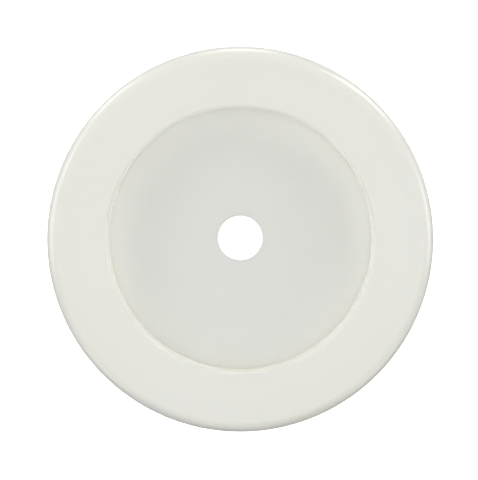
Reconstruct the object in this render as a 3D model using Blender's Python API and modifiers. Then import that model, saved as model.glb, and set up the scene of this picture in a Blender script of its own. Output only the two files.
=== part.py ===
"""Two-piece recessed ceiling plate (escutcheon) for a fire sprinkler head.

The head's half-inch thread passes the hole in the cup's floor, and screwing the head home clamps the
cup to the drop pipe. The trim ring pushes on over the mouth of the cup until its foam gasket meets the
ceiling, and leaf springs riveted to the cup grip its skirt, so it slides to suit the height of the pipe.

Metres, +Z up. The plate faces -Y and its axis is the Y axis; y = 0 is the ceiling or wall surface.
Every piece is drawn about its own +Z axis, with heights measured from the ceiling surface into the room,
and hangs from one empty that turns that axis to face -Y.
"""

import math

import bmesh
import bpy
from mathutils import Matrix

# Driving dimensions
PLATE_RADIUS = 0.095
RECESS_RADIUS = 0.0652  # inside the skirt, just under its rounded lip
RECESS_DEPTH = 0.014  # from the ring's face to the cup's floor
THREAD_HOLE_RADIUS = 0.011  # clears the 21.3 mm thread of a half-inch head
FACE_HEIGHT = 0.007  # the ring's face above the ceiling surface
GAP = 0.0003  # between pieces that rest on each other
ROUND_STEPS = 72

# Trim ring
RING_WALL = 0.0024
RIM_REACH = 0.0065  # the rim rolls over by this much across the face
RIM_DROP = 0.0050  # and falls by this much
RIM_WALL = 0.0018
RIM_LAND_HEIGHT = 0.0006  # the rim stops short of the ceiling, so that the gasket seals
RIM_CHAMFER = 0.0003
LIP_ROUNDING = 0.0013
SKIRT_WALL = 0.0020
DRAFT = 0.0005  # how much narrower the skirt is at its foot
LOCATING_RIB_RADIUS = 0.0790
LOCATING_RIB_WALL = 0.0014
LOCATING_RIB_HEIGHT = 0.0030

# Cup
FLOOR_WALL = 0.0022
FLOOR_HEIGHT = FACE_HEIGHT - RECESS_DEPTH
DISH_RADIUS = 0.0168  # the floor is dished from here in to the thread hole
DISH_DROP = 0.0012
SLEEVE_RADIUS = 0.0692  # inside the sleeve
SLEEVE_WALL = 0.0021
SLEEVE_TOP = 0.0036
SLEEVE_CORNER = 0.0015
HUB_RADIUS = 0.0176
HUB_WALL = 0.0022
HUB_LENGTH = 0.0040
HUB_DRAFT = 0.0002
RIB_COUNT = 8
RIB_WALL = 0.0018
RIB_INNER_HEIGHT = 0.0032
RIB_OUTER_HEIGHT = 0.0012
RIB_END_RADIUS = 0.0680
ROOT_OVERLAP = 0.0006  # how far a rib runs into the wall that it grows from

# Gasket
GASKET_INNER = 0.0805
GASKET_OUTER = 0.0900
GASKET_CHAMFER = 0.0004

# Leaf springs: angles in degrees from the line where each spring touches the skirt
SPRING_ANGLES = [45 + 90 * k for k in range(4)]
SPRING_THICKNESS = 0.0005
SPRING_WIDTH = 0.0050
SPRING_HEIGHT = -0.0005  # the middle of the strip
SPRING_BASE_END = 19.5
SPRING_BEND = 8.5
SPRING_TIP = -4.5
SPRING_TIP_LIFT = 0.0016
SPRING_STEP = 1.0
WINDOW_START = -6.2
WINDOW_END = 8.4
WINDOW_MARGIN = 0.0006

# Rivets
RIVET_OFFSETS = (11.6, 16.6)
RIVET_HEAD_RADIUS = 0.0019
RIVET_HEAD_HEIGHT = 0.0009
RIVET_SHANK_RADIUS = 0.0011
RIVET_TAIL_RADIUS = 0.0017
RIVET_TAIL_HEIGHT = 0.0006
RIVET_HOLE_RADIUS = 0.0013
RIVET_GAP = 0.00015
RIVET_STEPS = 14
CUTTER_LENGTH = 0.012

SKIRT_OUTER = RECESS_RADIUS + SKIRT_WALL
SLEEVE_OUTER = SLEEVE_RADIUS + SLEEVE_WALL
SPRING_BASE_RADIUS = SLEEVE_OUTER + GAP + SPRING_THICKNESS / 2
SPRING_CONTACT_RADIUS = SKIRT_OUTER + GAP + SPRING_THICKNESS / 2


def clear_scene():
    for leftover in list(bpy.data.objects):
        bpy.data.objects.remove(leftover, do_unlink=True)


def new_collection(name):
    collection = bpy.data.collections.new(name)
    bpy.context.scene.collection.children.link(collection)
    return collection


def make_material(name, colour, roughness, metallic=0.0):
    material = bpy.data.materials.new(name)
    material.use_nodes = True
    shader = material.node_tree.nodes["Principled BSDF"]
    shader.inputs["Base Color"].default_value = (*colour, 1.0)
    shader.inputs["Roughness"].default_value = roughness
    shader.inputs["Metallic"].default_value = metallic
    return material


def place(name, mesh, collection, parent, material=None):
    """One named object from a mesh, hung from its parent."""
    piece = bpy.data.objects.new(name, mesh)
    collection.objects.link(piece)
    piece.parent = parent
    if material:
        mesh.materials.append(material)
    return piece


def elliptic_arc(centre, radii, start, end, steps):
    """Points (radius, height) on an ellipse from one angle to another, in degrees."""
    angles = [math.radians(start + (end - start) * i / steps) for i in range(steps + 1)]
    return [(centre[0] + radii[0] * math.cos(a), centre[1] + radii[1] * math.sin(a)) for a in angles]


def turned(name, outline, closed, steps, collection, parent, material):
    """A turned solid: the outline, clockwise with radius to the right, spun about the piece's own Z axis."""
    mesh = bpy.data.meshes.new(name)
    count = len(outline)
    edges = [(i, (i + 1) % count) for i in range(count if closed else count - 1)]
    mesh.from_pydata([(radius, 0.0, height) for radius, height in outline], edges, [])
    piece = place(name, mesh, collection, parent, material)
    screw = piece.modifiers.new("spin", "SCREW")
    screw.axis = "Z"
    screw.angle = math.tau
    screw.steps = steps
    screw.render_steps = steps
    screw.use_merge_vertices = True
    screw.merge_threshold = 0.00001
    screw.use_smooth_shade = True
    return piece


def cut(piece, cutter, operation="DIFFERENCE"):
    boolean = piece.modifiers.new(operation.lower() + "_" + cutter.name, "BOOLEAN")
    boolean.operation = operation
    boolean.object = cutter
    return boolean


def helper(name, shape, collection, parent):
    """A cutter, or a shape that another piece is joined with: it isn't a piece by itself."""
    mesh = bpy.data.meshes.new(name)
    shape.to_mesh(mesh)
    shape.free()
    tool = place(name, mesh, collection, parent)
    tool.hide_render = True
    tool.display_type = "WIRE"
    return tool


def ring_outline():
    """Lip, face, rolled rim, underside with its locating rib, then down and up the skirt."""
    underside = FACE_HEIGHT - RING_WALL
    foot = FLOOR_HEIGHT + GAP
    lip = elliptic_arc(
        (RECESS_RADIUS + LIP_ROUNDING, FACE_HEIGHT - LIP_ROUNDING), (LIP_ROUNDING, LIP_ROUNDING), 180, 90, 4
    )
    rim_centre = (PLATE_RADIUS - RIM_REACH, FACE_HEIGHT - RIM_DROP)
    rim = elliptic_arc(rim_centre, (RIM_REACH, RIM_DROP), 90, 0, 7)
    land = [
        (PLATE_RADIUS, RIM_LAND_HEIGHT + RIM_CHAMFER),
        (PLATE_RADIUS - RIM_CHAMFER, RIM_LAND_HEIGHT),
        (PLATE_RADIUS - RIM_WALL, RIM_LAND_HEIGHT),
    ]
    inside_rim = elliptic_arc(rim_centre, (RIM_REACH - RIM_WALL, RIM_DROP - RING_WALL), 0, 90, 4)
    rib_foot = underside - LOCATING_RIB_HEIGHT
    locating_rib = [
        (LOCATING_RIB_RADIUS + LOCATING_RIB_WALL / 2, underside),
        (LOCATING_RIB_RADIUS + LOCATING_RIB_WALL / 2, rib_foot),
        (LOCATING_RIB_RADIUS - LOCATING_RIB_WALL / 2, rib_foot),
        (LOCATING_RIB_RADIUS - LOCATING_RIB_WALL / 2, underside),
    ]
    skirt = [
        (SKIRT_OUTER, underside),
        (SKIRT_OUTER - DRAFT, foot),
        (RECESS_RADIUS - DRAFT, foot),
    ]
    return lip + rim + land + inside_rim + locating_rib + skirt


def cup_outline():
    """Thread hole, dish, floor, sleeve, then the back with its hub."""
    back = FLOOR_HEIGHT - FLOOR_WALL
    dish = elliptic_arc(
        (DISH_RADIUS, FLOOR_HEIGHT - DISH_DROP), (DISH_RADIUS - THREAD_HOLE_RADIUS, DISH_DROP), 180, 90, 6
    )
    sleeve = [
        (SLEEVE_RADIUS, FLOOR_HEIGHT),
        (SLEEVE_RADIUS, SLEEVE_TOP),
        (SLEEVE_OUTER, SLEEVE_TOP),
    ]
    corner = elliptic_arc(
        (SLEEVE_OUTER - SLEEVE_CORNER, back + SLEEVE_CORNER), (SLEEVE_CORNER, SLEEVE_CORNER), 0, -90, 3
    )
    hub = [
        (HUB_RADIUS, back),
        (HUB_RADIUS - HUB_DRAFT, back - HUB_LENGTH),
        (HUB_RADIUS - HUB_WALL + HUB_DRAFT, back - HUB_LENGTH),
        (HUB_RADIUS - HUB_WALL, back),
    ]
    return dish + sleeve + corner + hub + [(THREAD_HOLE_RADIUS, back)]


def gasket_outline():
    top = FACE_HEIGHT - RING_WALL - GAP
    bevel = GASKET_CHAMFER
    return [
        (GASKET_INNER, bevel),
        (GASKET_INNER, top - bevel),
        (GASKET_INNER + bevel, top),
        (GASKET_OUTER - bevel, top),
        (GASKET_OUTER, top - bevel),
        (GASKET_OUTER, bevel),
        (GASKET_OUTER - bevel, 0.0),
        (GASKET_INNER + bevel, 0.0),
    ]


def rivet_outline():
    """From the crown of the head down to the upset tail, with the head's underside at height 0."""
    grip = SPRING_BASE_RADIUS + SPRING_THICKNESS / 2 - SLEEVE_RADIUS + 3 * RIVET_GAP
    head = elliptic_arc((0.0, 0.0), (RIVET_HEAD_RADIUS, RIVET_HEAD_HEIGHT), 90, 0, 3)
    return head + [
        (RIVET_SHANK_RADIUS, 0.0),
        (RIVET_SHANK_RADIUS, -grip),
        (RIVET_TAIL_RADIUS, -grip),
        (RIVET_TAIL_RADIUS, -grip - RIVET_TAIL_HEIGHT),
        (0.0, -grip - RIVET_TAIL_HEIGHT),
    ]


def spring_radius(angle):
    """Radius of the strip's middle: flat on the sleeve, in through the window to the skirt, and out at the tip."""
    if angle >= 0:
        share = min(1.0, angle / SPRING_BEND)
        eased = share * share * (3 - 2 * share)
        return SPRING_CONTACT_RADIUS + (SPRING_BASE_RADIUS - SPRING_CONTACT_RADIUS) * eased
    return SPRING_CONTACT_RADIUS + SPRING_TIP_LIFT * (angle / SPRING_TIP) ** 2


def leaf_spring(name, angle, rivet_holes, collection, parent, material):
    """A strip that follows spring_radius, with a bored base."""
    shape = bmesh.new()
    count = round((SPRING_BASE_END - SPRING_TIP) / SPRING_STEP)
    line = []
    for i in range(count + 1):
        along = SPRING_TIP + (SPRING_BASE_END - SPRING_TIP) * i / count
        turn = math.radians(along)
        radius = spring_radius(along)
        start = (radius * math.cos(turn), radius * math.sin(turn), SPRING_HEIGHT - SPRING_WIDTH / 2)
        line.append(shape.verts.new(start))
    edges = [shape.edges.new(pair) for pair in zip(line, line[1:])]
    widened = bmesh.ops.extrude_edge_only(shape, edges=edges)
    moved = [item for item in widened["geom"] if isinstance(item, bmesh.types.BMVert)]
    bmesh.ops.translate(shape, verts=moved, vec=(0.0, 0.0, SPRING_WIDTH))
    mesh = bpy.data.meshes.new(name)
    shape.to_mesh(mesh)
    shape.free()
    spring = place(name, mesh, collection, parent, material)
    spring.rotation_euler = (0.0, 0.0, math.radians(angle))
    strip = spring.modifiers.new("strip", "SOLIDIFY")
    strip.thickness = SPRING_THICKNESS
    strip.offset = 0.0
    cut(spring, rivet_holes)
    return spring


def radial_turn(angle):
    """Turns +Z to point outwards from the plate's axis at this angle."""
    return Matrix.Rotation(math.radians(angle), 4, "Z") @ Matrix.Rotation(math.radians(90), 4, "Y")


def rivet_angles():
    return [angle + offset for angle in SPRING_ANGLES for offset in RIVET_OFFSETS]


def rib_star(collection, parent):
    """Ribs that run from the hub to the edge of the floor's back, lower at their outer ends."""
    shape = bmesh.new()
    back = FLOOR_HEIGHT - FLOOR_WALL
    inner = HUB_RADIUS - HUB_WALL / 2
    length = RIB_END_RADIUS - inner
    depth = RIB_INNER_HEIGHT + ROOT_OVERLAP
    for k in range(RIB_COUNT):
        middle = Matrix.Translation((inner + length / 2, 0.0, back + ROOT_OVERLAP - depth / 2))
        turn = Matrix.Rotation(math.tau * k / RIB_COUNT, 4, "Z")
        size = Matrix.Diagonal((length, RIB_WALL, depth, 1.0))
        made = bmesh.ops.create_cube(shape, size=1.0, matrix=turn @ middle @ size)
        for vert in made["verts"]:
            is_outer = math.hypot(vert.co.x, vert.co.y) > (inner + RIB_END_RADIUS) / 2
            if is_outer and vert.co.z < back:
                vert.co.z = back - RIB_OUTER_HEIGHT
    return helper("rib_star", shape, collection, parent)


def window_cutter(collection, parent):
    """Blocks that open the sleeve in front of each spring's free length."""
    shape = bmesh.new()
    width = 2 * SLEEVE_OUTER * math.sin(math.radians((WINDOW_END - WINDOW_START) / 2))
    height = SPRING_WIDTH + 2 * WINDOW_MARGIN
    for angle in SPRING_ANGLES:
        turn = Matrix.Rotation(math.radians(angle + (WINDOW_START + WINDOW_END) / 2), 4, "Z")
        middle = Matrix.Translation((SLEEVE_RADIUS + SLEEVE_WALL / 2, 0.0, SPRING_HEIGHT))
        size = Matrix.Diagonal((CUTTER_LENGTH / 2, width, height, 1.0))
        bmesh.ops.create_cube(shape, size=1.0, matrix=turn @ middle @ size)
    return helper("spring_windows", shape, collection, parent)


def rivet_hole_cutter(collection, parent):
    shape = bmesh.new()
    for angle in rivet_angles():
        middle = Matrix.Translation((0.0, 0.0, SPRING_BASE_RADIUS))
        bmesh.ops.create_cone(
            shape,
            cap_ends=True,
            segments=RIVET_STEPS,
            radius1=RIVET_HOLE_RADIUS,
            radius2=RIVET_HOLE_RADIUS,
            depth=CUTTER_LENGTH,
            matrix=Matrix.Translation((0.0, 0.0, SPRING_HEIGHT)) @ radial_turn(angle) @ middle,
        )
    return helper("rivet_holes", shape, collection, parent)


def main():
    clear_scene()
    pieces = new_collection("sprinkler_ceiling_plate")
    cutters = new_collection("cutters")

    ring_plastic = make_material("ring_plastic", (0.80, 0.79, 0.73), 0.28)
    cup_plastic = make_material("cup_plastic", (0.76, 0.77, 0.74), 0.45)
    foam = make_material("gasket_foam", (0.06, 0.06, 0.065), 0.9)
    spring_steel = make_material("spring_steel", (0.55, 0.54, 0.52), 0.3, 1.0)
    rivet_metal = make_material("rivet_aluminium", (0.72, 0.72, 0.73), 0.35, 1.0)

    axis = bpy.data.objects.new("plate_axis", None)
    pieces.objects.link(axis)
    axis.rotation_euler = (math.radians(90), 0.0, 0.0)

    ribs = rib_star(cutters, axis)
    windows = window_cutter(cutters, axis)
    rivet_holes = rivet_hole_cutter(cutters, axis)

    turned("trim_ring", ring_outline(), True, ROUND_STEPS, pieces, axis, ring_plastic)
    turned("ceiling_gasket", gasket_outline(), True, ROUND_STEPS, pieces, axis, foam)
    cup = turned("recess_cup", cup_outline(), True, ROUND_STEPS, pieces, axis, cup_plastic)
    cut(cup, ribs, "UNION")
    cut(cup, windows)
    cut(cup, rivet_holes)

    for number, angle in enumerate(SPRING_ANGLES, 1):
        leaf_spring(f"friction_spring_{number}", angle, rivet_holes, pieces, axis, spring_steel)

    head_radius = SPRING_BASE_RADIUS + SPRING_THICKNESS / 2 + RIVET_GAP
    for number, angle in enumerate(rivet_angles(), 1):
        rivet = turned(f"spring_rivet_{number}", rivet_outline(), False, RIVET_STEPS, pieces, axis, rivet_metal)
        turn = math.radians(angle)
        rivet.location = (head_radius * math.cos(turn), head_radius * math.sin(turn), SPRING_HEIGHT)
        rivet.rotation_euler = radial_turn(angle).to_euler()


main()
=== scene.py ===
# %% [markdown]
# # A recessed ceiling plate for a fire sprinkler head
#
# A sprinkler head hangs from a pipe above the ceiling. The hole cut for it is ugly, so a round white plate
# covers it. This one has two moulded parts: a wide trim ring, and a cup whose floor has a hole for the
# head's thread. Springs on the cup grip the ring, which slides in and out to suit the height of the pipe.
#
# The lesson rebuilds the look of every part around a finished engineering model, the frame. The frame knows
# where everything is, so sizes are read from it where they can be. The others are named once, where they are
# first needed.

import bmesh
import bpy
import numpy as np
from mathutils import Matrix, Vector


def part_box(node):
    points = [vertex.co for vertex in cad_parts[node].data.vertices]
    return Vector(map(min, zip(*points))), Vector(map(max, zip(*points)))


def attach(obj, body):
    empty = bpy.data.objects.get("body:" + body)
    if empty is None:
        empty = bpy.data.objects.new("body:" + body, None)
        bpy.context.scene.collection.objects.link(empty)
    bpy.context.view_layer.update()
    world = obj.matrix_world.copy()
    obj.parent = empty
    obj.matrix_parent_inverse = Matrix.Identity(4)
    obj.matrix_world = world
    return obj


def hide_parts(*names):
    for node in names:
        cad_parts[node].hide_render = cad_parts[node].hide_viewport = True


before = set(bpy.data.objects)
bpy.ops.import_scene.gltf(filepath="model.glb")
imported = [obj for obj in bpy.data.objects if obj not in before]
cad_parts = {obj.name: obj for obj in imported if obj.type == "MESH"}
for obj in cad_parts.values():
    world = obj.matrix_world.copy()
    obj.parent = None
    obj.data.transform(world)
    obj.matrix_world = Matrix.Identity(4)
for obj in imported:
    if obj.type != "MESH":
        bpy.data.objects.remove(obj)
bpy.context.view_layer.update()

# %% [markdown]
# ## The sizes that everything hangs on
#
# The plate hangs on a wall or ceiling whose surface is y = 0, and looks towards -Y. Its parts are turned
# shapes, so they are easiest to think of as a radius and a height. The radius is the distance from the Y
# axis, and the height is the distance from the wall into the room, which is -y.

# %% Read the sizes from the frame
MM = 0.001


def reach(node):
    """Outer radius of a node, and its lowest and highest height, in metres."""
    low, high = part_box(node)
    return (high.x - low.x) / 2, -high.y, -low.y


plate_radius, ring_foot, face_height = reach("trim_ring")
sleeve_radius, hub_end, sleeve_top = reach("recess_cup")
gasket_radius, gasket_low, gasket_high = reach("ceiling_gasket")
print(f"plate {2000 * plate_radius:.1f} mm across, face {1000 * face_height:.1f} mm from the wall")

# %% [markdown]
# ## The camera
#
# The camera stands straight in front of the plate and a few degrees above its axis. From there the recess
# looks like a set of circles that are almost concentric: the deeper a circle lies, the higher it sits.
# A long lens from far away keeps the circles round. The camera is made first, because it needs nothing else.

# %% Make the camera
CAMERA_DISTANCE = 3.0
CAMERA_ELEVATION = np.radians(4.6)
LENS = 457.0
AIM = (-0.0006, 0.0, -0.00035)

camera = bpy.data.objects.new("camera", bpy.data.cameras.new("camera"))
bpy.context.scene.collection.objects.link(camera)
bpy.context.scene.camera = camera
camera.data.lens = LENS
camera.location = (
    AIM[0],
    AIM[1] - CAMERA_DISTANCE * np.cos(CAMERA_ELEVATION),
    AIM[2] + CAMERA_DISTANCE * np.sin(CAMERA_ELEVATION),
)
camera.rotation_euler = (np.pi / 2 - CAMERA_ELEVATION, 0.0, 0.0)
camera.data.clip_end = 50.0
print("camera at", [round(value, 3) for value in camera.location])

# %% [markdown]
# ## From a grid of points to a piece
#
# Every surface here is a rectangular grid of points, worked out as one array. Neighbouring points make a
# four-sided face, so the faces are only arithmetic on the points' numbers. A grid can close on itself in
# either direction: a tube closes in one, and a ring closes in both.

# %% Turn grids into meshes


def grid_faces(rows, columns, close_rows=False, close_columns=False):
    """Faces of a grid whose point (i, j) has the number i * columns + j, as an array of four numbers each.
    A closed direction joins its last line of points to its first."""
    i, j = np.meshgrid(
        np.arange(rows if close_rows else rows - 1),
        np.arange(columns if close_columns else columns - 1),
        indexing="ij",
    )
    below, beside = (i + 1) % rows, (j + 1) % columns
    corners = (i * columns + j, i * columns + beside, below * columns + beside, below * columns + j)
    return np.stack(corners, axis=-1)


def new_piece(name, points, faces, sharp_degrees=40.0):
    """A smooth-shaded object at the origin. Points that coincide, at a pole or a seam, become one."""
    mesh = bpy.data.meshes.new(name)
    mesh.from_pydata(points.reshape(-1, 3).tolist(), [], faces)
    shape = bmesh.new()
    shape.from_mesh(mesh)
    bmesh.ops.remove_doubles(shape, verts=shape.verts, dist=0.002 * MM)
    bmesh.ops.recalc_face_normals(shape, faces=shape.faces)
    volume = shape.calc_volume(signed=True)
    open_edges = sum(not edge.is_manifold for edge in shape.edges)
    shape.to_mesh(mesh)
    shape.free()
    mesh.shade_smooth()
    mesh.set_sharp_from_angle(angle=np.radians(sharp_degrees))
    piece = bpy.data.objects.new(name, mesh)
    bpy.context.scene.collection.objects.link(piece)
    print(f"{name}: {len(mesh.polygons)} faces, {1e6 * volume:.2f} cm3, {open_edges} open edges")
    return piece


# %% [markdown]
# ## Outlines with rounded corners
#
# No moulded edge is perfectly sharp, and it is the small roundings that catch the light. An outline is
# therefore written as its corners only, each with how far its rounding reaches back along the side before
# it and on along the side after it. The rounding is a slanted quarter ellipse, which leaves both sides
# smoothly. With two equal reaches it is the usual fillet, and with two unlike ones it is the soft roll of
# the plate's outer edge. The same function serves outside corners, inside corners and slanted sides.

# %% Round the corners of an outline


def rounded(corners, closed=True):
    """Points (radius, height) along an outline with rounded corners. A corner is (radius, height, before,
    after). With U and V the unit directions from a corner C to its neighbours, its points are
    C + before * (1 - sin t) * U + after * (1 - cos t) * V, for t from 0 to a quarter turn."""
    corners = np.array([tuple(c) + (0.0,) * (4 - len(c)) for c in corners]) * MM
    places, reaches = corners[:, :2], corners[:, 2:]
    pieces = []
    for k, (place, (before, after)) in enumerate(zip(places, reaches)):
        at_end = not closed and k in (0, len(places) - 1)
        if at_end or before + after == 0:
            pieces.append(place[None])
            continue
        back = places[k - 1] - place
        on = places[(k + 1) % len(places)] - place
        steps = 4 + round((before + after) * 1800)
        t = np.linspace(0, np.pi / 2, steps + 1)[:, None]
        from_back = before * (1 - np.sin(t)) * back / np.linalg.norm(back)
        from_on = after * (1 - np.cos(t)) * on / np.linalg.norm(on)
        pieces.append(place + from_back + from_on)
    return np.concatenate(pieces)


def turned(outline, steps):
    """A surface of revolution about the Y axis, as a grid of outline points by angles.
    A point at radius r, height h and angle a is (r cos a, -h, r sin a)."""
    angle = np.linspace(0, 2 * np.pi, steps, endpoint=False)
    radius, height = outline[:, :1], outline[:, 1:]
    return np.stack([radius * np.cos(angle), -height + 0 * angle, radius * np.sin(angle)], axis=-1)


TURNING_STEPS = 360

# %% [markdown]
# ## The trim ring
#
# The ring is the part that people see. Its face is flat, its outer edge rolls over to the ceiling, and
# its inner edge turns into the skirt, which is the straight wall of the recess. Behind the face it is
# hollow, with a low rib that keeps the gasket in place. It could be carved from a cylinder, but a turned
# outline gives every rounding its exact size, and the whole ring is one short list of corners.
#
# The frame leaves a working gap under the skirt's foot. It would show as a dark slit round the floor, which
# the real plate doesn't have when its ring is home, so here the foot reaches down until it almost touches.

# %% Turn the trim ring
RING_WALL = 2.4
SKIRT_WALL = 2.0
DRAFT = 0.5
RECESS_RADIUS = 65.2
LIP_ROUNDING = 2.2
FOOT_REACH = 0.27

face = face_height / MM
under = face - RING_WALL
foot = ring_foot / MM - FOOT_REACH
rim = plate_radius / MM
ring_corners = [
    (RECESS_RADIUS, face, LIP_ROUNDING, LIP_ROUNDING),
    (rim, face, 5.4, 5.0),
    (rim, 0.6, 0.3, 0.3),
    (rim - 1.8, 0.6, 0.2, 0.2),
    (rim - 1.8, under, 2.6, 4.7),
    (79.7, under, 0.4, 0.4),
    (79.6, under - 3.0, 0.3, 0.3),
    (78.4, under - 3.0, 0.3, 0.3),
    (78.3, under, 0.4, 0.4),
    (RECESS_RADIUS + SKIRT_WALL, under, 0.8, 0.8),
    (RECESS_RADIUS + SKIRT_WALL - DRAFT, foot, 0.4, 0.4),
    (RECESS_RADIUS - DRAFT, foot, 0.05, 0.05),
]
ring_points = turned(rounded(ring_corners), TURNING_STEPS)
ring_faces = grid_faces(len(ring_points), TURNING_STEPS, True, True)
trim_ring = new_piece("trim_ring_shell", ring_points, ring_faces.reshape(-1, 4).tolist())

# %% [markdown]
# ## The cup's grid
#
# The cup is a turned shape too, but it has eight ribs on its back and four windows in its sleeve, which a
# plain turned grid would cut across. So the grid's columns are bent to follow them. Beside a rib the columns
# run parallel to it, at fixed distances from its middle, and everywhere else they share out the rest of
# the turn. Two columns of every eighth are put just where a window's sides are.
#
# A rib's section is an outline too: the distance from the rib's middle, and the share of its height there.

# %% Place the cup's columns
RIB_COUNT = 8
SECTOR = 2 * np.pi / RIB_COUNT
RIM_OF_BACK = sleeve_radius - 1.5 * MM
SPRING_LINES = np.radians([45, 135, 225, 315])
WINDOW_START, WINDOW_END = np.radians(-6.2), np.radians(8.4)

half_section = rounded([(0, 1), (0.82, 1, 0.22, 0.10), (0.95, 0, 0.16, 0.5), (1.5, 0)], closed=False)
rib_distance = np.concatenate([-half_section[:0:-1, 0], half_section[:, 0]])
rib_share = np.concatenate([half_section[:0:-1, 1], half_section[:, 1]]) / MM

edge = np.arcsin(rib_distance[-1] / RIM_OF_BACK)
between = np.concatenate(
    [
        np.linspace(edge, WINDOW_END, 8)[1:],
        np.linspace(WINDOW_END, SECTOR + WINDOW_START, 29)[1:],
        np.linspace(SECTOR + WINDOW_START, SECTOR - edge, 6)[1:-1],
    ]
)
between_share = (between - edge) / (SECTOR - 2 * edge)


def column_angles(radius):
    """Angle of each column from the first rib, for rows at these radii: arcsin(distance / radius) beside a
    rib, and fixed shares of the rest of the sector elsewhere."""
    radius = radius[:, None]
    beside = np.arcsin(rib_distance / radius)
    last = beside[:, -1:]
    sector = np.concatenate([beside, last + between_share * (SECTOR - 2 * last)], axis=1)
    return np.concatenate([sector + k * SECTOR for k in range(RIB_COUNT)], axis=1)


column_count = RIB_COUNT * (len(rib_distance) + len(between))
rib_height_share = np.tile(np.concatenate([rib_share, 0 * between]), RIB_COUNT)
print(column_count, "columns, of which", RIB_COUNT * len(rib_distance), "follow the ribs")

# %% [markdown]
# ## The cup
#
# The outline starts at the narrowest place of the thread hole. It climbs the shallow dish to the flat
# floor, goes up the inside of the sleeve and down its outside, and comes back over the hub. The floor's
# back is lifted by the ribs, which are highest at the hub and fade out before the cup's edge. The hub's
# outer wall starts from the top of a rib where it meets one, so that its rows are squeezed there.

# %% Draw the cup's outline
RECESS_DEPTH = 14.0
FLOOR_WALL = 2.2
SLEEVE_WALL = 2.1
HOLE_RADIUS = 11.0
HUB_RADIUS = 17.6

floor = face - RECESS_DEPTH
back = floor - FLOOR_WALL
sleeve = sleeve_radius / MM
top = sleeve_top / MM
hub = hub_end / MM
spring_height = -0.5
half_window = 3.1
window_low, window_high = spring_height - half_window, spring_height + half_window

cup_corners = [
    (HOLE_RADIUS, floor, 1.2, 5.8),
    (sleeve - SLEEVE_WALL, floor, 0.5, 0.5),
    (sleeve - SLEEVE_WALL, window_low),
    (sleeve - SLEEVE_WALL, window_high),
    (sleeve - SLEEVE_WALL, top, 0.3, 0.3),
    (sleeve, top, 0.3, 0.3),
    (sleeve, window_high),
    (sleeve, window_low),
    (sleeve, back, 1.5, 1.5),
    *[(radius, back) for radius in np.append(np.linspace(69.2, 67.2, 9), [60, 50, 40, 30, 22])],
    (HUB_RADIUS, back),
    (HUB_RADIUS - 0.2, hub, 0.3, 0.3),
    (HUB_RADIUS - 2.0, hub, 0.3, 0.3),
    (HUB_RADIUS - 2.2, back, 0.4, 0.4),
    (HOLE_RADIUS, back, 0.25, 0.25),
]
cup_outline = rounded(cup_corners)
row_radius, row_height = cup_outline.T
print(len(cup_outline), "rows")

# %% Lift the ribs and close the surface
RIB_INNER, RIB_OUTER = 3.2 * MM, 1.2 * MM
RIB_END, RIB_FADE = 68.0 * MM, 1.4 * MM
hub_radius = HUB_RADIUS * MM

back_height = back * MM
tiny = 1e-6
on_back = np.isclose(row_height, back_height) & (row_radius > hub_radius - tiny)
on_outer_wall = (row_radius <= hub_radius - tiny) & (row_radius > (HUB_RADIUS - 1) * MM)
on_hub = on_outer_wall & (row_height < back_height - tiny)
inside_hub = (row_height <= back_height + tiny) & (row_radius < hub_radius + tiny)

warp_radius = np.where(on_back, row_radius, RIM_OF_BACK)
warp_radius = np.where(inside_hub, hub_radius, warp_radius)
angle = column_angles(warp_radius)


def rib_height(radius):
    """Height of a rib's crest: a straight fall from the hub outwards, then a quarter ellipse to nothing."""
    fall = RIB_INNER + (RIB_OUTER - RIB_INNER) * (radius - hub_radius) / (RIB_END - hub_radius)
    into_end = np.clip((radius - RIB_END + RIB_FADE) / RIB_FADE, 0, 1)
    return fall * np.sqrt(1 - into_end**2)


lift = rib_height(row_radius)[:, None] * rib_height_share
height = np.repeat(row_height[:, None], column_count, axis=1)
height -= np.where(on_back[:, None], lift, 0)
hub_share = (back_height - row_height) / (back_height - hub_end)
hub_start = back_height - rib_height(np.array([hub_radius]))[0] * rib_height_share
squeezed = hub_start + (hub_end - hub_start) * hub_share[:, None]
height = np.where(on_hub[:, None], squeezed, height)

radius = row_radius[:, None]
cup_points = np.stack([radius * np.cos(angle), -height, radius * np.sin(angle)], axis=-1)
print(f"ribs up to {lift.max() / MM:.1f} mm high on {on_back.sum()} rows of the back")

# %% [markdown]
# ## The windows
#
# A window is a patch of the grid that is left out of the sleeve's inner and outer wall, with a lining of
# four strips between the two edges. Its corners are grid points already, so the lining needs no new ones.

# %% Cut and line the windows


def nearest_row(radius_mm, height_mm):
    """Number of the outline's row that lies nearest to this place."""
    return int(np.argmin(np.hypot(row_radius - radius_mm * MM, row_height - height_mm * MM)))


inner_low, inner_high = (nearest_row(sleeve - SLEEVE_WALL, h) for h in (window_low, window_high))
outer_low, outer_high = (nearest_row(sleeve, h) for h in (window_low, window_high))
sleeve_angle = column_angles(np.array([RIM_OF_BACK]))[0]

faces = grid_faces(len(cup_outline), column_count, True, True)
kept = np.ones(faces.shape[:2], bool)
lining = []
for line in SPRING_LINES:
    first = int(np.argmin(abs(sleeve_angle - line - WINDOW_START)))
    last = int(np.argmin(abs(sleeve_angle - line - WINDOW_END)))
    kept[inner_low:inner_high, first:last] = False
    kept[outer_high:outer_low, first:last] = False
    across = np.arange(first, last)
    for inner, outer in ((inner_low, outer_low), (inner_high, outer_high)):
        strip = (inner * column_count + across, outer * column_count + across)
        lining.append(np.stack([strip[0], strip[0] + 1, strip[1] + 1, strip[1]], axis=-1))
    for column in (first, last):
        corners = [row * column_count + column for row in (inner_low, inner_high, outer_high, outer_low)]
        lining.append(np.array([corners]))

recess_cup = new_piece("recess_cup_shell", cup_points, np.concatenate([faces[kept], *lining]).tolist())

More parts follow.
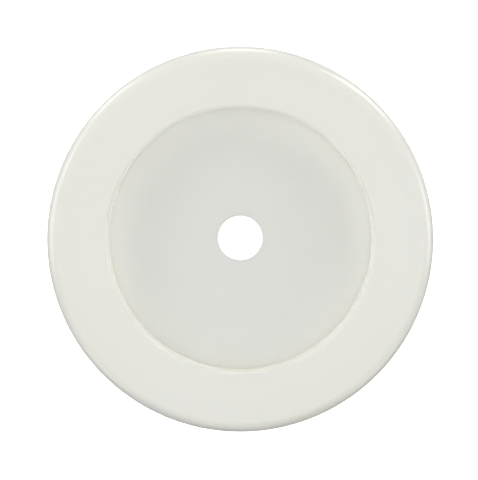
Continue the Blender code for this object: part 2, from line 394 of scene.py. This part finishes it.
# %% [markdown]
# ## The leaf springs
#
# Each spring is a strip of hard steel. Its base is riveted flat on the sleeve, then it bends in through the
# window, comes up to the skirt, and curls away again so that the ring can slip under it. The strip is a
# small rounded rectangle carried along that path. Near both ends it narrows along a quarter circle, which
# gives it the rounded corners of a stamped part.

# %% Define a strip along a path
SPRING_THICKNESS, SPRING_WIDTH = 0.5 * MM, 5.0 * MM
SPRING_GAP = 0.3 * MM
BASE_END, BEND_END, TIP_START = np.radians(19.5), np.radians(8.5), np.radians(-4.5)
TIP_LIFT = 1.6 * MM
END_ROUNDING = 0.9 * MM

base_path = sleeve_radius + SPRING_GAP + SPRING_THICKNESS / 2
contact_path = (RECESS_RADIUS + SKIRT_WALL) * MM + SPRING_GAP + SPRING_THICKNESS / 2


def spring_path(angle):
    """Radius of the strip's middle: an S-curve 3s^2 - 2s^3 from the skirt out to the sleeve, and a parabola
    at the tip."""
    share = np.clip(angle / BEND_END, 0, 1)
    eased = share**2 * (3 - 2 * share)
    outward = contact_path + (base_path - contact_path) * eased
    return np.where(angle >= 0, outward, contact_path + TIP_LIFT * (angle / TIP_START) ** 2)


def strip_section(half_width, half_thickness):
    """A rectangle with rounded corners, as points (across, through)."""
    corner = 0.12
    w, t = half_width / MM, half_thickness / MM
    sides = [(w, t), (-w, t), (-w, -t), (w, -t)]
    return rounded([(*side, corner, corner) for side in sides])


def spring_points(line):
    """The strip as a grid of stations by section points. At station angle a the middle M is at radius
    spring_path(a), and the section stands on the path's normal N and on the Y axis:
    M + through * N + across * Y. Stations crowd together at both ends, where the strip narrows."""
    u = np.linspace(0, 1, 81)
    angle = TIP_START + (BASE_END - TIP_START) * (u - np.sin(2 * np.pi * u) / (2 * np.pi) * 0.8)
    path = spring_path(angle)[:, None] * np.stack([np.cos(angle + line), np.sin(angle + line)], axis=-1)
    along = np.gradient(path, axis=0)
    along /= np.linalg.norm(along, axis=1, keepdims=True)
    travelled = np.concatenate([[0], np.cumsum(np.linalg.norm(np.diff(path, axis=0), axis=1))])
    from_end = np.minimum(travelled, travelled[-1] - travelled)
    missing = np.clip(END_ROUNDING - from_end, 0, None)
    half_width = SPRING_WIDTH / 2 - END_ROUNDING + np.sqrt(END_ROUNDING**2 - missing**2)
    section = strip_section(SPRING_WIDTH / 2, SPRING_THICKNESS / 2)
    across = section[None, :, 0] * (half_width / (SPRING_WIDTH / 2))[:, None]
    through = section[None, :, 1]
    x = path[:, :1] + through * along[:, 1:]
    z = path[:, 1:] - through * along[:, :1]
    y = across - spring_height * MM
    return np.stack([x, y, z], axis=-1)


# %% Make the four springs
springs = []
for number, line in enumerate(SPRING_LINES, 1):
    points = spring_points(line)
    stations, around = points.shape[:2]
    faces = grid_faces(stations, around, close_columns=True).reshape(-1, 4).tolist()
    ends = [list(range(around)), list(range((stations - 1) * around, stations * around))]
    springs.append(new_piece(f"leaf_spring_{number}", points, faces + ends))

# %% [markdown]
# ## The rivets
#
# A rivet is turned about its own axis, and its outline starts and ends on that axis, where all the points of
# a row fall together into a pole. Two unit vectors square to the rivet's direction then carry it to its
# place on the sleeve: this is all that a rotation is.

# %% Make the eight rivets
RIVET_OFFSETS = np.radians([11.6, 16.6])
RIVET_STEPS = 40
head_plane = base_path + SPRING_THICKNESS / 2 + 0.15 * MM
grip = head_plane / MM - (sleeve - SLEEVE_WALL) + 0.3
rivet_corners = [
    (0, 0.9),
    (0.7, 0.88, 0.5, 0.5),
    (1.55, 0.55, 0.6, 0.5),
    (1.9, 0.12, 0.3, 0.1),
    (1.9, 0, 0.05, 0.05),
    (1.1, 0),
    (1.1, -grip),
    (1.7, -grip, 0.15, 0.15),
    (1.6, -grip - 0.6, 0.3, 0.3),
    (0.5, -grip - 0.6, 0.1, 0.1),
    (0.35, -grip - 0.45, 0.1, 0.1),
    (0, -grip - 0.45),
]
rivet_outline = rounded(rivet_corners, closed=False)


def rivet_points(line):
    """At radius r, height h and angle a of its own, a rivet's point is
    (head_plane + h) * D + r cos a * S + r sin a * Y, with D out of the sleeve and S square to D and Y."""
    a = np.linspace(0, 2 * np.pi, RIVET_STEPS, endpoint=False)
    out = np.array([np.cos(line), 0, np.sin(line)])
    side = np.array([-np.sin(line), 0, np.cos(line)])
    radius, height = rivet_outline[:, :1, None], rivet_outline[:, 1:, None]
    circle = np.cos(a)[:, None] * side + np.sin(a)[:, None] * np.array([0.0, 1.0, 0.0])
    middle = np.array([0.0, -spring_height * MM, 0.0])
    return middle + (head_plane + height) * out + radius * circle


rivets = []
for number, line in enumerate((SPRING_LINES[:, None] + RIVET_OFFSETS).ravel(), 1):
    points = rivet_points(line)
    faces = grid_faces(len(points), RIVET_STEPS, close_columns=True).reshape(-1, 4).tolist()
    rivets.append(new_piece(f"rivet_{number}", points, faces))

# %% [markdown]
# ## The gasket
#
# The gasket is a flat ring cut from foam sheet. Its two flat faces keep the sheet's skin, and its edges show
# the knife's slight wander, which a few slow waves around the ring give it.

# %% Turn the gasket
GASKET_INNER = 80.5
low, high = gasket_low / MM, gasket_high / MM
wide = gasket_radius / MM
gasket_corners = [
    (GASKET_INNER, high, 0.5, 0.5),
    (wide, high, 0.5, 0.5),
    (wide, low, 0.4, 0.4),
    (GASKET_INNER, low, 0.4, 0.4),
]
gasket_points = turned(rounded(gasket_corners), TURNING_STEPS)
turn = np.linspace(0, 2 * np.pi, TURNING_STEPS, endpoint=False)
wander = 0.08 * MM * (np.sin(7 * turn) + np.sin(12 * turn + 1.0) + np.sin(19 * turn + 2.5)) - 0.25 * MM
distance = np.hypot(gasket_points[..., 0], gasket_points[..., 2])
edge_side = np.where(distance > (GASKET_INNER + wide) / 2 * MM, 1.0, -1.0)
scale = 1 + edge_side * wander / distance
gasket_points[..., 0] *= scale
gasket_points[..., 2] *= scale
gasket_faces = grid_faces(len(gasket_points), TURNING_STEPS, True, True)
gasket = new_piece("foam_gasket", gasket_points, gasket_faces.reshape(-1, 4).tolist())

# %% [markdown]
# ## Materials
#
# Each finish is a Principled shader with a few procedural textures on Object coordinates, which are metres in
# the plate's own frame. A texture's scale is therefore the number of its features in a metre.

# %% A small kit for building node trees


class Finish:
    """A Principled material, with short methods that add and link the nodes around it."""

    def __init__(self, name, **constants):
        self.material = bpy.data.materials.new(name)
        self.material.use_nodes = True
        self.tree = self.material.node_tree
        self.shader = self.tree.nodes["Principled BSDF"]
        self.coordinates = self.add("ShaderNodeTexCoord").outputs["Object"]
        for key, value in constants.items():
            self.shader.inputs[key.replace("_", " ")].default_value = value

    def add(self, kind, inputs=None, **settings):
        """A new node. An input that is given a socket is linked to it, and any other value is set."""
        node = self.tree.nodes.new(kind)
        for key, value in settings.items():
            setattr(node, key, value)
        for key, value in (inputs or {}).items():
            if isinstance(value, bpy.types.NodeSocket):
                self.tree.links.new(value, node.inputs[key])
            else:
                node.inputs[key].default_value = value
        return node

    def noise(self, scale, detail=2.0, vector=None):
        """A noise texture with this many features in a metre."""
        inputs = {"Vector": vector or self.coordinates, "Scale": scale, "Detail": detail}
        return self.add("ShaderNodeTexNoise", inputs).outputs["Fac"]

    def ramp(self, factor, *stops):
        """A colour ramp through (position, colour) stops."""
        node = self.add("ShaderNodeValToRGB", {"Fac": factor})
        elements = node.color_ramp.elements
        while len(elements) < len(stops):
            elements.new(0.5)
        for element, (position, colour) in zip(elements, stops):
            element.position = position
            element.color = (*colour, 1.0)
        return node.outputs["Color"]

    def between(self, factor, low, high, from_low=0.3, from_high=0.7):
        """A range of values, the middle of a texture's unless told otherwise, stretched from low to high."""
        inputs = {"Value": factor, "From Min": from_low, "From Max": from_high, "To Min": low, "To Max": high}
        return self.add("ShaderNodeMapRange", inputs).outputs["Result"]

    def bump(self, height, distance, below=None):
        """A surface raised by a texture, up to a distance in metres, on top of another such surface."""
        inputs = {"Height": height, "Distance": distance, "Strength": 1.0}
        if below:
            inputs["Normal"] = below
        return self.add("ShaderNodeBump", inputs).outputs["Normal"]

    def link(self, socket, target):
        """Lead a socket to one of the shader's own inputs."""
        self.tree.links.new(socket, self.shader.inputs[target])


# %% [markdown]
# ### Glossy ivory plastic
#
# The ring is moulded in a polished tool. The plastic is a warm white that is never quite even, its gloss
# varies a little with handling, and its surface has the faint waviness of cooled plastic.
#
# The floor of the real recess is brighter and warmer beside the wall. Light that comes through the wall's
# plastic may be the cause, and a faint warm emission on the wall stands for it. This is painted light: the
# wall glows though it is no lamp, and it brightens the floor beside it. That is an assumption, and its
# strength was chosen: a small fillet under the wall could look much the same. The skirt's draft makes its
# wall wider upwards, so the distance from the axis alone tells where on the wall a point is. The painted glow
# is full on the lower half, and fades to nothing at the lip.

# %% Mix the ring's plastic
SHALLOW_GLOW = {"Subsurface_Weight": 0.3, "Subsurface_Radius": (1.0, 0.92, 0.7), "Subsurface_Scale": 0.003}
GLOSS = {"IOR": 1.53, "Coat_Weight": 0.25, "Coat_Roughness": 0.06}
# Painted light: a warm glow on the skirt's wall, which is no lamp, brightens the wall and the floor beside
# it.
PAINTED_SKIRT_GLOW = 0.16
PAINTED_GLOW_COLOUR = (1.0, 0.94, 0.78, 1.0)

ring_plastic = Finish("ring_plastic", Emission_Color=PAINTED_GLOW_COLOUR, **GLOSS, **SHALLOW_GLOW)
mottle = ring_plastic.noise(18.0, 4.0)
ivory = ring_plastic.ramp(mottle, (0.3, (0.905, 0.897, 0.820)), (0.7, (0.918, 0.911, 0.845)))
ring_plastic.link(ivory, "Base Color")
without_y = {0: ring_plastic.coordinates, 1: (1, 0, 1)}
flat = ring_plastic.add("ShaderNodeVectorMath", without_y, operation="MULTIPLY").outputs[0]
from_axis = ring_plastic.add("ShaderNodeVectorMath", {0: flat}, operation="LENGTH").outputs["Value"]
# Mask of the painted glow: full on the lower half of the skirt's wall, fading out at the lip.
half_way_up = (RECESS_RADIUS - DRAFT / 2) * MM
painted_skirt_glow = ring_plastic.between(from_axis, PAINTED_SKIRT_GLOW, 0.0, half_way_up, RECESS_RADIUS * MM)
ring_plastic.link(painted_skirt_glow, "Emission Strength")
ring_plastic.link(ring_plastic.between(ring_plastic.noise(60.0, 5.0), 0.17, 0.26), "Roughness")
waviness = ring_plastic.bump(ring_plastic.noise(90.0, 1.0), 0.00006)
ring_plastic.link(ring_plastic.bump(ring_plastic.noise(1500.0, 2.0), 0.000004, below=waviness), "Normal")
print("ring plastic:", len(ring_plastic.tree.nodes), "nodes")

# %% [markdown]
# ### Satin white plastic
#
# The cup comes from a tool with a fine matt texture, so its floor scatters the light evenly. It is a cooler
# white than the ring.

# %% Mix the cup's plastic
cup_plastic = Finish("cup_plastic", IOR=1.50, **SHALLOW_GLOW)
mottle = cup_plastic.noise(22.0, 4.0)
white = cup_plastic.ramp(mottle, (0.3, (0.840, 0.846, 0.804)), (0.7, (0.854, 0.860, 0.818)))
cup_plastic.link(white, "Base Color")
cup_plastic.link(cup_plastic.between(cup_plastic.noise(70.0, 4.0), 0.42, 0.52), "Roughness")
cup_plastic.link(cup_plastic.bump(cup_plastic.noise(2600.0, 3.0), 0.00001), "Normal")
print("cup plastic:", len(cup_plastic.tree.nodes), "nodes")

# %% [markdown]
# ### Closed-cell foam
#
# Foam is a heap of tiny bubbles. A Voronoi texture gives each one a rounded dent, and a slower noise the
# uneven dye.

# %% Mix the gasket's foam
foam = Finish("gasket_foam", Roughness=0.92)
cells = foam.add("ShaderNodeTexVoronoi", {"Vector": foam.coordinates, "Scale": 1700.0}).outputs["Distance"]
dye = foam.noise(120.0, 5.0)
foam.link(foam.ramp(dye, (0.3, (0.045, 0.046, 0.050)), (0.7, (0.080, 0.081, 0.086))), "Base Color")
foam.link(foam.bump(cells, 0.00025, below=foam.bump(foam.noise(160.0, 2.0), 0.0002)), "Normal")
print("foam:", len(foam.tree.nodes), "nodes")

# %% [markdown]
# ### Spring steel and aluminium
#
# Rolled strip has fine lines along its length, which here runs around the plate. A noise that is a hundred
# times as fine along Y as it is the other two ways gives such lines: many across the strip, and each long.

# %% Mix the metals
steel = Finish("spring_steel", Metallic=1.0, IOR=2.5)
squeeze = {"Vector": steel.coordinates, "Scale": (60.0, 6000.0, 60.0)}
lines = steel.noise(1.0, 3.0, steel.add("ShaderNodeMapping", squeeze).outputs["Vector"])
steel.link(steel.ramp(lines, (0.3, (0.46, 0.45, 0.43)), (0.7, (0.60, 0.59, 0.57))), "Base Color")
steel.link(steel.between(lines, 0.24, 0.40), "Roughness")
steel.link(steel.bump(lines, 0.000006), "Normal")

aluminium = Finish("rivet_aluminium", Metallic=1.0, IOR=1.4)
grain = aluminium.noise(900.0, 4.0)
aluminium.link(aluminium.ramp(grain, (0.3, (0.66, 0.66, 0.67)), (0.7, (0.80, 0.80, 0.81))), "Base Color")
aluminium.link(aluminium.between(grain, 0.28, 0.46), "Roughness")
aluminium.link(aluminium.bump(grain, 0.00002), "Normal")
print("steel:", len(steel.tree.nodes), "nodes, aluminium:", len(aluminium.tree.nodes), "nodes")

# %% [markdown]
# ## Put the pieces on the frame
#
# Each new piece stands in for one node of the engineering model, and moves with the same body as that node.

# %% Finish, mount and name each piece


def mount(piece, finish, body, node):
    """Give a piece its finish, and put it in the place of one node of the frame."""
    piece.data.materials.append(finish.material)
    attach(piece, body)
    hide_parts(node)


mount(trim_ring, ring_plastic, "trim", "trim_ring")
mount(gasket, foam, "trim", "ceiling_gasket")
mount(recess_cup, cup_plastic, "cup", "recess_cup")
for number, spring in enumerate(springs, 1):
    mount(spring, steel, "cup", f"friction_spring_{number}")
for number, rivet in enumerate(rivets, 1):
    mount(rivet, aluminium, "cup", f"spring_rivet_{number}")
print("mounted", 3 + len(springs) + len(rivets), "pieces")

# %% [markdown]
# ## The floor
#
# The plate hangs in front of plain white, over a pale floor that is wide enough to fill the view. The floor
# is there for the camera only. If it threw light or shade at the plate, the plate's lower edge would lose
# the soft darkness that makes it look round.

# %% Lay the floor
FLOOR_HEIGHT = -0.16
bpy.ops.mesh.primitive_plane_add(size=16.0, location=(0, 0, FLOOR_HEIGHT))
floor_plane = bpy.context.object
floor_plane.name = "studio_floor"
floor_plane.visible_diffuse = False
floor_plane.visible_glossy = False
floor_plane.visible_transmission = False
floor_plane.visible_shadow = False
pale = Finish("studio_floor", Roughness=0.9, Emission_Strength=0.6, Emission_Color=(1, 1, 1, 1))
pale.link(pale.ramp(pale.noise(3.0), (0.3, (0.93, 0.93, 0.93)), (0.7, (0.95, 0.95, 0.95))), "Base Color")
floor_plane.data.materials.append(pale.material)
print(f"floor {-1000 * FLOOR_HEIGHT:.0f} mm below the plate's middle")

# %% [markdown]
# ## The light
#
# White plastic shows its shape only by small changes of light, so most of the light has to be soft and come
# from nearly everywhere. The world does that. It is built like the white tent that small white things are
# shown in. A broad glow behind the camera fills the recess, and three patches below it reach into its upper
# part. Of eight patches round the sides, the lowest is dim, which leaves the bottom edge its shade. Three
# bright ones above and a little behind light the upper edge only. Each is a smooth spot of light around one
# direction. A direction is given by its tilt from the camera's side, and by how far around it is, counted
# from the right over the top. One more spot, behind the plate, is the white background itself. Everywhere
# else the world is black, and a level view from the side shows it.
#
# Two large soft boxes at the left and the right fill the face. Two small ones, higher up, make the bright
# streaks on the rolled edge that tell the eye that the plastic is glossy.

# %% Aim at a direction


def direction(tilt, around):
    """Unit vector at this tilt from -Y and this far around it, both in degrees: 0 is +X and 90 is +Z."""
    t, a = np.radians([tilt, around])
    return np.array([np.sin(t) * np.cos(a), -np.cos(t), np.sin(t) * np.sin(a)])


# %% Build the white tent
scene = bpy.context.scene
scene.view_settings.view_transform = "Standard"
world = bpy.data.worlds.new("white_tent")
scene.world = world
world.use_nodes = True
tent = world.node_tree
gaze = tent.nodes.new("ShaderNodeTexCoord").outputs["Generated"]
glows = []


def glow(tilt, around, spread, strength):
    """A spot whose brightness falls smoothly from a third of its spread out to nothing at the spread."""
    nearness = tent.nodes.new("ShaderNodeVectorMath")
    nearness.operation = "DOT_PRODUCT"
    nearness.inputs[1].default_value = direction(tilt, around)
    tent.links.new(gaze, nearness.inputs[0])
    fall = tent.nodes.new("ShaderNodeMapRange")
    fall.interpolation_type = "SMOOTHERSTEP"
    fall.inputs["From Min"].default_value = np.cos(np.radians(spread))
    fall.inputs["From Max"].default_value = np.cos(np.radians(0.3 * spread))
    fall.inputs["To Max"].default_value = strength
    tent.links.new(nearness.outputs["Value"], fall.inputs["Value"])
    total = tent.nodes.new("ShaderNodeMath")
    tent.links.new(fall.outputs["Result"], total.inputs[0])
    if glows:
        tent.links.new(glows[-1], total.inputs[1])
    else:
        total.inputs[1].default_value = 0.0
    glows.append(total.outputs["Value"])


glow(0, 0, 22, 1.3)
for around in range(0, 360, 60):
    glow(28, around, 22, 0.72)
for around in (225, 270, 315):
    glow(52, around, 20, 0.75)
for around in (45, 90, 135):
    glow(74, around, 18, 1.6)
    glow(94, around, 16, 4.4)
for around in (0, 180):
    glow(74, around, 18, 2.2)
for around in (225, 315):
    glow(74, around, 18, 1.7)
glow(74, 270, 18, 0.4)
glow(180, 0, 40, 1.3)
tent.links.new(glows[-1], tent.nodes["Background"].inputs["Color"])
print(len(glows), "glows")

# %% Hang the soft boxes


def soft_box(name, tilt, around, distance, wide, high, watts):
    """A rectangular area light that looks at the plate's middle."""
    data = bpy.data.lights.new(name, "AREA")
    data.shape = "RECTANGLE"
    data.size = wide
    data.size_y = high
    data.energy = watts
    light = bpy.data.objects.new(name, data)
    scene.collection.objects.link(light)
    light.location = distance * direction(tilt, around)
    light.rotation_euler = (-light.location).to_track_quat("-Z", "Y").to_euler()
    print(f"{name}: {watts} W from {distance} m")


soft_box("left_fill", 65, 175, 0.8, 0.5, 0.5, 0.9)
soft_box("right_fill", 65, 5, 0.8, 0.5, 0.5, 0.9)
soft_box("left_streak", 66, 156, 0.9, 0.17, 0.24, 0.55)
soft_box("right_streak", 67, 55, 0.9, 0.17, 0.24, 0.55)
